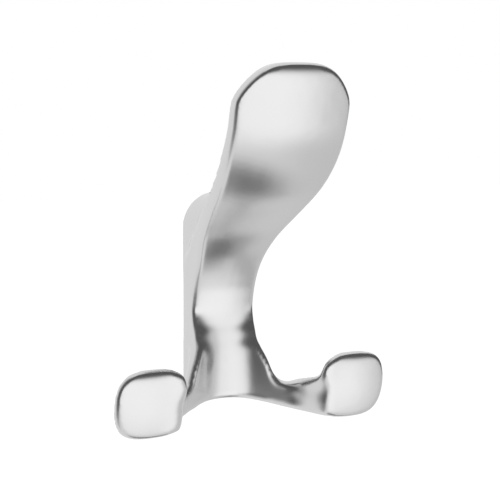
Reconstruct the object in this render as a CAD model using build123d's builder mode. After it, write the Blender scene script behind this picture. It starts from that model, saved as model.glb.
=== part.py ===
from build123d import *
from math import cos, radians, sin, sqrt, tan
import os

os.makedirs("parts", exist_ok=True)

# Coat hook with a paddle above and two pads below, cast in one piece.
# The wall is the plane y = 0, the hook stands out towards -Y, and +Z is up.
# The origin is the middle of the two fixing screws, on the wall.

# fixing screws, which come through the wall from behind into tapped blind holes
screw_spacing = 32.0
screw_hole_radius = 1.65
upper_hole_depth = 10.0
lower_hole_depth = 4.2
hole_mouth = 0.4

# base on the wall, its arched top round about the upper screw
base_half_width = 10.3
throat_radius = 4.0

# column, arm and paddle seen from the side
column_depth = 6.4
column_bend_z = -12.6
column_bend_radius = 37.4
arm_slope = radians(52.0)
paddle_bend_z = 24.8
paddle_bend_radius = 41.0
paddle_lean = radians(13.5)
arm_set_back = 3.1
arm_rise = 2.0
neck_crown = 1.2
paddle_crown = 1.7
paddle_roll = 1.2
roll_height = 5.2
paddle_swell = 1.2

# paddle and column seen from the front
paddle_top_z = 62.7
shoulder_half_width = 11.4
shoulder_z = 60.4
cheek_half_width = 17.0
cheek_z = 54.3
paddle_half_width = 17.8
paddle_wide_z = 43.0
arm_half_width = 14.6
arm_z = 20.8
neck_half_width = 11.2
neck_z = 10.0
column_half_width = 10.1
column_top_z = -9.0
column_foot_z = -14.5

# side arms and pads seen from above
hub_half_flat = 1.0
hub_bend_radius = 14.0
side_arm_angle = radians(33.0)
step_x = 17.0
step_radius = 8.0
step_angle = radians(70.0)
pad_bend_radius = 3.0
pad_depth = 25.3
pad_lean = radians(9.0)
side_arm_width = 3.0
pad_thickness = 2.7
pad_swell = 1.2
pad_crown = 0.8

# side arms and pads seen from the front
root_x = 12.9
root_z = -22.8
saddle_x = 18.6
saddle_z = -28.8
pad_x = 32.3
pad_z = -29.1
pad_half_width = 10.8
pad_half_height = 9.7
pad_corner_x = 8.6
pad_corner_z = 7.4
heel_x = 21.8
heel_z = -23.5
heel_inset = 5.0
toe_x = 24.7
toe_z = -38.0
under_arm_x = 18.6
under_arm_z = -36.7
hub_foot_z = -33.2

# the front of the column passes into the front of the side arms between these heights
blend_top_z = -6.0
blend_foot_z = -21.0

front_edge_radius = 1.3

# room around the outline, and the net of points, for the surfaces that shape it
margin = 6.0
net_x = 1.0
net_z = 2.5
surface_fit = 0.03

arch_z = screw_spacing / 2
pad_end_x = pad_x + pad_half_width
pad_top_z = pad_z + pad_half_height
pad_foot_z = pad_z - pad_half_height


def bent(along, level, bends):
    """Depth along a straight start and a row of bends, each given by its start, radius and end angle."""
    place = 0.0
    angle = 0.0
    for start, radius, end_angle in bends:
        turn = 1 if end_angle > angle else -1
        if along < start:
            break
        level += (start - place) * tan(angle)
        middle = start - turn * radius * sin(angle)
        middle_level = level + turn * radius * cos(angle)
        end = middle + turn * radius * sin(end_angle)
        if along < end:
            return middle_level - turn * sqrt(radius**2 - (along - middle) ** 2)
        place = end
        level = middle_level - turn * radius * cos(end_angle)
        angle = end_angle
    return level + (along - place) * tan(angle)


def side_profile(z):
    """Depth of the front of the column, the arm and the paddle at a height."""
    bends = ((0.0, column_bend_radius, arm_slope),
             (paddle_bend_z - column_bend_z, paddle_bend_radius, paddle_lean))
    return bent(max(z - column_bend_z, 0.0), column_depth, bends)


def plan_profile(x):
    """Depth of the front of the side arms and the pads at a distance from the middle."""
    bends = [(hub_half_flat, hub_bend_radius, side_arm_angle), (step_x, step_radius, step_angle)]
    step_end = step_x + step_radius * (sin(step_angle) - sin(side_arm_angle))
    rise = pad_depth - pad_bend_radius * (1 - cos(step_angle)) - bent(step_end, column_depth, bends)
    bends.append((step_end + rise / tan(step_angle), pad_bend_radius, 0.0))
    return bent(max(x, 0.0), column_depth, bends)


def smooth(share):
    """Share from 0 to 1 that starts and ends gently."""
    share = min(max(share, 0.0), 1.0)
    return share**2 * (3 - 2 * share)


def lower_share(z):
    """How far the shape has passed from the column to the side arms."""
    return smooth((blend_top_z - z) / (blend_top_z - blend_foot_z))


def heel_share(x, z):
    """How far the inner end of the pad stands free above the side arm as a flat plate."""
    return smooth((abs(x) - root_x) / (heel_x - root_x)) * smooth((z - saddle_z) / (heel_z - saddle_z))


def pad_tilt(x, z):
    """Extra depth that leans the pads forward."""
    return smooth(abs(x) / heel_x) * (z - pad_z) * tan(pad_lean)


def upper_drop(x, z):
    """How far the rounded front of the neck and the paddle falls back from its middle and at the top."""
    neck = neck_crown * (x / neck_half_width) ** 2
    paddle = paddle_crown * (x / paddle_half_width) ** 2
    roll = paddle_roll * max(1 - (paddle_top_z - z) / roll_height, 0.0) ** 2
    return neck + smooth((z - neck_z) / (paddle_wide_z - neck_z)) * (paddle - neck) + roll


def pad_drop(x, z):
    """How far the pillowed front of the pads falls back from their middles."""
    square = ((abs(x) - pad_x) / pad_half_width) ** 2 + ((z - pad_z) / pad_half_height) ** 2
    return pad_crown * square * smooth((abs(x) - saddle_x) / (pad_x - saddle_x))


def front_depth(x, z):
    """Depth of the front of the casting."""
    share = lower_share(z)
    across = abs(x) + heel_share(x, z) * heel_inset
    lower = plan_profile(across) - column_depth + pad_tilt(x, z) - pad_drop(x, z)
    return side_profile(z) - (1 - share) * upper_drop(x, z) + share * lower


def back_depth(x, z):
    """Depth of the back of the arm, the paddle, the side arms and the pads."""
    swell = paddle_swell * (1 - (x / paddle_half_width) ** 2)
    upper = side_profile(z - arm_rise) - upper_drop(x, z) - arm_set_back - swell
    heel = heel_share(x, z)
    across = abs(x) - (1 - heel) * side_arm_width + heel * heel_inset
    from_middle = ((abs(x) - pad_x) / pad_half_width) ** 2 + ((z - pad_z) / pad_half_height) ** 2
    bulge = pad_swell * max(1 - from_middle, 0.0) ** 2
    lower = plan_profile(across) - pad_thickness - bulge + pad_tilt(x, z)
    return upper + lower_share(z) * (lower - upper)


def curved_face(depth):
    """Smooth face through the depths over the whole outline."""
    half_count = round((pad_end_x + margin) / net_x)
    low = pad_foot_z - margin
    rows = round((paddle_top_z + margin - low) / net_z)
    across = [net_x * column for column in range(-half_count, half_count + 1)]
    up = [low + net_z * row for row in range(rows + 1)]
    places = [[(x, -depth(x, z), z) for x in across] for z in up]
    return Face.make_surface_from_array_of_points(places, tol=surface_fit, min_deg=3)


front_face = curved_face(front_depth)
back_face = curved_face(back_depth)
reach = front_depth(0, paddle_top_z) + margin

# open space behind the paddle, the side arms and the pads, outside the base
with BuildPart() as relief:
    with BuildSketch(Plane.XZ.offset(-margin)) as surround:
        with Locations((0, (paddle_top_z + pad_foot_z) / 2)):
            Rectangle(2 * pad_end_x + margin, paddle_top_z - pad_foot_z + margin)
    extrude(amount=reach + margin)
    split(bisect_by=back_face, keep=Keep.TOP)
    with BuildSketch(Plane.XZ.offset(-margin)) as base:
        with Locations((0, arch_z)):
            Circle(base_half_width)
            Rectangle(2 * base_half_width, arch_z - pad_foot_z + margin, align=(Align.CENTER, Align.MAX))
    extrude(amount=reach + margin, mode=Mode.SUBTRACT)
    throat = faces().filter_by(GeomType.BSPLINE)[0].edges()
    throat = throat.filter_by(lambda edge: abs(edge.center().X) < base_half_width + surface_fit)
    fillet(throat.sort_by(Axis.Z)[:-1], throat_radius)

with BuildPart() as hook_casting:
    with BuildSketch(Plane.XZ) as outline:
        with BuildLine() as half_outline:
            Spline((0, paddle_top_z), (shoulder_half_width, shoulder_z), (cheek_half_width, cheek_z),
                   (paddle_half_width, paddle_wide_z), tangents=((1, 0), (0, -1)))
            Spline((paddle_half_width, paddle_wide_z), (arm_half_width, arm_z), (neck_half_width, neck_z),
                   (column_half_width, column_top_z), tangents=((0, -1), (0, -1)))
            Line((column_half_width, column_top_z), (column_half_width, column_foot_z))
            Spline((column_half_width, column_foot_z), (root_x, root_z), (saddle_x, saddle_z),
                   tangents=((0, -1), (1, 0)))
            Spline((saddle_x, saddle_z), (heel_x, heel_z), (pad_x, pad_top_z),
                   tangents=((1, 0), (1, 0)))
            Spline((pad_x, pad_top_z), (pad_x + pad_corner_x, pad_z + pad_corner_z), (pad_end_x, pad_z),
                   tangents=((1, 0), (0, -1)))
            Spline((pad_end_x, pad_z), (pad_x + pad_corner_x, pad_z - pad_corner_z), (pad_x, pad_foot_z),
                   tangents=((0, -1), (-1, 0)))
            Spline((pad_x, pad_foot_z), (toe_x, toe_z), (under_arm_x, under_arm_z), (0, hub_foot_z),
                   tangents=((-1, 0), (-1, 0)))
            mirror(about=Plane.YZ)
        make_face()
    extrude(amount=reach)
    split(bisect_by=front_face, keep=Keep.TOP)
    fillet(faces().filter_by(GeomType.BSPLINE)[0].edges(), front_edge_radius)
    add(relief.part, mode=Mode.SUBTRACT)
    with BuildSketch(Plane.XZ) as upper_hole:
        with Locations((0, screw_spacing / 2)):
            Circle(screw_hole_radius)
    extrude(amount=upper_hole_depth, mode=Mode.SUBTRACT)
    with BuildSketch(Plane.XZ) as lower_hole:
        with Locations((0, -screw_spacing / 2)):
            Circle(screw_hole_radius)
    extrude(amount=lower_hole_depth, mode=Mode.SUBTRACT)
    mouths = faces().sort_by(Axis.Y)[-1].inner_wires()
    chamfer([edge for mouth in mouths for edge in mouth.edges()], hole_mouth)

hook_casting.part.label = "hook_casting"
export_step(hook_casting.part, "parts/hook_casting.step")
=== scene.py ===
import math

import bpy
from mathutils import Matrix, Vector


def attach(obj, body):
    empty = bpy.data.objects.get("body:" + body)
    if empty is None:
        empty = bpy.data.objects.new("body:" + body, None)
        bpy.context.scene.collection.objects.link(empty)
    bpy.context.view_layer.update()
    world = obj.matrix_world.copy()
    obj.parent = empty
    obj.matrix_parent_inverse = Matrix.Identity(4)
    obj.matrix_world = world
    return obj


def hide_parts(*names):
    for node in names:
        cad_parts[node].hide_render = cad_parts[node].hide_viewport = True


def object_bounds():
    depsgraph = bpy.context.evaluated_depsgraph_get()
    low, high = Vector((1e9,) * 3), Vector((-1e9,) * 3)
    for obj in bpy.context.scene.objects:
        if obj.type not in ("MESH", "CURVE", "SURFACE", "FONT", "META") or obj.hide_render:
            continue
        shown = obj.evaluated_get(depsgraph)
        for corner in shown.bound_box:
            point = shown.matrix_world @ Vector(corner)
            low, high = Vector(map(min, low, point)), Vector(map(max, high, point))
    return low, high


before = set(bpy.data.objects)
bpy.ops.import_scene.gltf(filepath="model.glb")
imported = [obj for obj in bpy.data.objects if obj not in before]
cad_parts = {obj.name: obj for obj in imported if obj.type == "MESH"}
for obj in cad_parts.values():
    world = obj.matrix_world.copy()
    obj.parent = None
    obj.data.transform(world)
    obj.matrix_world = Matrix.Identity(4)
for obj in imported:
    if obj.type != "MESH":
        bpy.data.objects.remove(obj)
cad_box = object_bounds()


# Hook casting
# One die-casting of zinc: base, column, paddle, side arms and pads in a single piece.
# It is tumbled until its edges are broken, its side arms are ground, and it is plated with satin chrome.

weld_gap = 2e-6
skin_cell = 0.0004
tumbled_passes = 16
tumbled_strength = 0.5


def only(piece):
    """Selects one piece alone and makes it the active one."""
    bpy.ops.object.select_all(action="DESELECT")
    piece.select_set(True)
    bpy.context.view_layer.objects.active = piece


def finish_with(piece, kind, **settings):
    """Adds one modifier with its settings and applies it."""
    only(piece)
    modifier = piece.modifiers.new(kind.lower(), kind)
    for name, value in settings.items():
        setattr(modifier, name, value)
    bpy.ops.object.modifier_apply(modifier=modifier.name)


only(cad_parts["hook_casting"])
bpy.ops.object.duplicate()
hook = bpy.context.active_object
hook.name = "hook"
hook.data.name = "hook"
bpy.ops.object.mode_set(mode="EDIT")
bpy.ops.mesh.select_all(action="SELECT")
bpy.ops.mesh.remove_doubles(threshold=weld_gap)
bpy.ops.object.mode_set(mode="OBJECT")
finish_with(hook, "REMESH", mode="VOXEL", voxel_size=skin_cell)
finish_with(hook, "SMOOTH", factor=tumbled_strength, iterations=tumbled_passes)

# The side arms turn sharply, so they are ground further, most on their backs, and pass softly into the pads.
arm_start = 0.0115
arm_end = 0.027
arm_top = -0.014
arm_fade = 0.002
ground_passes = 100
ground_front = 0.5
side_arms = hook.vertex_groups.new(name="side_arms")
for point in hook.data.vertices:
    out = abs(point.co.x)
    inside = min(out - arm_start, arm_end - out, arm_top - point.co.z) / arm_fade
    weight = min(max(inside, 0.0), 1.0) * max(point.normal.y, ground_front)
    if weight > 0:
        side_arms.add([point.index], weight, "REPLACE")
finish_with(hook, "SMOOTH", factor=tumbled_strength, iterations=ground_passes, vertex_group=side_arms.name)
hook.vertex_groups.clear()
only(hook)
bpy.ops.object.shade_smooth()


class Wire:
    """A socket of a node tree that takes part in Python sums."""

    def __init__(self, tree, socket=None):
        self.tree = tree
        self.socket = socket

    def node(self, kind, inputs=None, settings=None, output=0):
        """Adds a node, sets it up, fills or links its inputs, and gives back one of its outputs."""
        new = self.tree.nodes.new(kind)
        for name, value in (settings or {}).items():
            setattr(new, name, value)
        for key, value in (inputs or {}).items():
            if isinstance(value, Wire):
                self.tree.links.new(value.socket, new.inputs[key])
            else:
                new.inputs[key].default_value = value
        return Wire(self.tree, new.outputs[output])

    def math(self, operation, *values):
        """Adds a Math node that works on these values."""
        return self.node("ShaderNodeMath", dict(enumerate(values)), {"operation": operation})

    def __add__(self, other):
        return self.math("ADD", self, other)

    def __radd__(self, other):
        return self.math("ADD", other, self)

    def __sub__(self, other):
        return self.math("SUBTRACT", self, other)

    def __rsub__(self, other):
        return self.math("SUBTRACT", other, self)

    def __mul__(self, other):
        return self.math("MULTIPLY", self, other)

    def __rmul__(self, other):
        return self.math("MULTIPLY", other, self)

    def __truediv__(self, other):
        return self.math("DIVIDE", self, other)


chrome_dull = (0.615, 0.615, 0.615, 1.0)
chrome_clear = (0.665, 0.665, 0.665, 1.0)
cloud_size = 0.02
cloud_detail = 3.0
satin_roughness = 0.24
roughness_spread = 0.05
grain_size = 0.0004
grain_detail = 2.0
grain_depth = 0.000004

satin_chrome = bpy.data.materials.new("satin_chrome")
satin_chrome.use_nodes = True
plating = satin_chrome.node_tree
plating_shader = plating.nodes["Principled BSDF"]
place = Wire(plating).node("ShaderNodeTexCoord", output="Object")
grain = place.node("ShaderNodeTexNoise", {"Vector": place, "Scale": 1 / grain_size, "Detail": grain_detail})
cloud = place.node("ShaderNodeTexNoise", {"Vector": place, "Scale": 1 / cloud_size, "Detail": cloud_detail})
roughness = satin_roughness + (cloud - 0.5) * roughness_spread
satin = place.node("ShaderNodeBump", {"Height": grain, "Distance": grain_depth})

# A Mix node takes its two colours at inputs 6 and 7 and gives the mixed colour at output 2.
mixed = {0: cloud, 6: chrome_dull, 7: chrome_clear}
tone = place.node("ShaderNodeMix", mixed, {"data_type": "RGBA"}, output=2)
plating.links.new(tone.socket, plating_shader.inputs["Base Color"])
plating.links.new(roughness.socket, plating_shader.inputs["Roughness"])
plating.links.new(satin.socket, plating_shader.inputs["Normal"])
plating_shader.inputs["Metallic"].default_value = 1.0

hook.data.materials.clear()
hook.data.materials.append(satin_chrome)
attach(hook, "root")
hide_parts("hook_casting")


# Floor of the studio
# A plain white sheet well below the hook, which hangs on its screws and touches nothing.
# It is seen as white and takes a faint shadow, and the metal mirrors the room in its place.

floor_size = 6.0
floor_drop = 0.15
floor_white = (0.9, 0.9, 0.9, 1.0)
plain_white = (1.0, 1.0, 1.0, 1.0)
floor_glow = 1.12
shadow_share = 0.15

bpy.ops.object.select_all(action="DESELECT")
bpy.ops.mesh.primitive_plane_add(size=floor_size, location=(0, 0, cad_box[0][2] - floor_drop))
floor = bpy.context.active_object
floor.name = "floor"
bpy.ops.object.transform_apply(location=True, rotation=True, scale=True)
floor_paint = bpy.data.materials.new("floor_paint")
floor_paint.use_nodes = True
sheet = floor_paint.node_tree
sheet.nodes.remove(sheet.nodes["Principled BSDF"])
camera_ray = Wire(sheet).node("ShaderNodeLightPath", output="Is Camera Ray")
lit = camera_ray.node("ShaderNodeBsdfDiffuse", {"Color": floor_white})
glow = camera_ray.node("ShaderNodeEmission", {"Color": plain_white, "Strength": floor_glow})
paint = camera_ray.node("ShaderNodeMixShader", {0: camera_ray * (1 - shadow_share), 1: lit, 2: glow})
sheet.links.new(paint.socket, sheet.nodes["Material Output"].inputs["Surface"])
floor.data.materials.append(floor_paint)
floor.visible_glossy = False


# Studio round the hook
# A white room that the camera sees as plain white. The metal also mirrors its grey left wall, the dark
# corner behind the camera, the dark ceiling, a wide soft window low in front, a grey wall low on the
# right with a dark streak above it, and a dark patch under the hook, which is painted shade that stands
# in for the hook's shadow on the floor.

room_white = 1.0
seen_white = 1.0

world = bpy.data.worlds.new("studio")
bpy.context.scene.world = world
world.use_nodes = True
room = world.node_tree
background = room.nodes["Background"]
background.inputs["Color"].default_value = plain_white
seen = Wire(room).node("ShaderNodeLightPath", output="Is Camera Ray")
toward = seen.node("ShaderNodeTexCoord", output="Generated")


def area_share(azimuth, elevation, half_width, half_height, edge):
    """Soft-edged oval share of the room round a direction, with its angles in degrees."""
    turned = math.radians(azimuth)
    raised = math.radians(elevation)
    flat = math.cos(raised)
    ahead = Vector((math.sin(turned) * flat, -math.cos(turned) * flat, math.sin(raised)))
    across = Vector((math.cos(turned), math.sin(turned), 0.0))
    axes = (ahead, across, ahead.cross(across))
    along, side, rise = [toward.node("ShaderNodeVectorMath", {0: toward, 1: axis},
                                     {"operation": "DOT_PRODUCT"}, output="Value") for axis in axes]
    wide = side.math("ARCTAN2", side, along) / math.radians(half_width)
    high = rise.math("ARCSINE", rise) / math.radians(half_height)
    reach = wide.math("SQRT", wide * wide + high * high)
    ends = {"Value": reach, "From Min": 1 - edge, "From Max": 1 + edge, "To Min": 1.0, "To Max": 0.0}
    return reach.node("ShaderNodeMapRange", ends, {"interpolation_type": "SMOOTHSTEP"})


# Each area has its azimuth from the front towards +X, elevation, half width and half height in degrees,
# the softness of its edge and its brightness.
areas = {
    "left wall": (-52, 8, 48, 60, 0.3, 0.50),
    "behind the camera": (-40, -10, 34, 22, 0.4, 0.14),
    "ceiling": (20, 30, 110, 26, 0.25, 0.12),
    "right low wall": (90, -32, 62, 22, 0.3, 0.80),
    # painted shade: the hook's shadow on the floor, as the metal mirrors it
    "under the hook": (68, -67, 20, 8, 0.6, 0.16),
    "window": (6, -13, 32, 13, 0.35, 1.40),
    "lower window": (27, -28, 18, 14, 0.55, 1.40),
    "streak": (80, -6, 16, 5, 0.4, 0.10),
}
level = room_white
for *direction_and_size, brightness in areas.values():
    level = level + area_share(*direction_and_size) * (brightness - level)
strength = seen * seen_white + (1 - seen) * level
room.links.new(strength.socket, background.inputs["Strength"])


# Camera
# It stands where the photo was taken from: to the hook's left, a little above, about half a metre away.
# Its long lens fills the picture with the hook as the photo does.

view_turn = math.radians(30.0)
view_rise = math.radians(5.4)
view_distance = 0.478
aim = Vector((-0.00013, -0.02134, 0.01109))
sensor_mm = 36.0
picture_pixels = 500
focal_pixels = 1720

to_camera = Vector((-math.sin(view_turn) * math.cos(view_rise), -math.cos(view_turn) * math.cos(view_rise),
                    math.sin(view_rise)))
right = Vector((math.cos(view_turn), -math.sin(view_turn), 0.0))
upright = to_camera.cross(right)
lens = bpy.data.cameras.new("camera")
lens.sensor_width = sensor_mm
lens.lens = sensor_mm * focal_pixels / picture_pixels
camera = bpy.data.objects.new("camera", lens)
bpy.context.scene.collection.objects.link(camera)
facing = Matrix((right, upright, to_camera)).transposed().to_4x4()
camera.matrix_world = Matrix.Translation(aim + to_camera * view_distance) @ facing
bpy.context.scene.camera = camera
bpy.context.scene.view_settings.view_transform = "Standard"
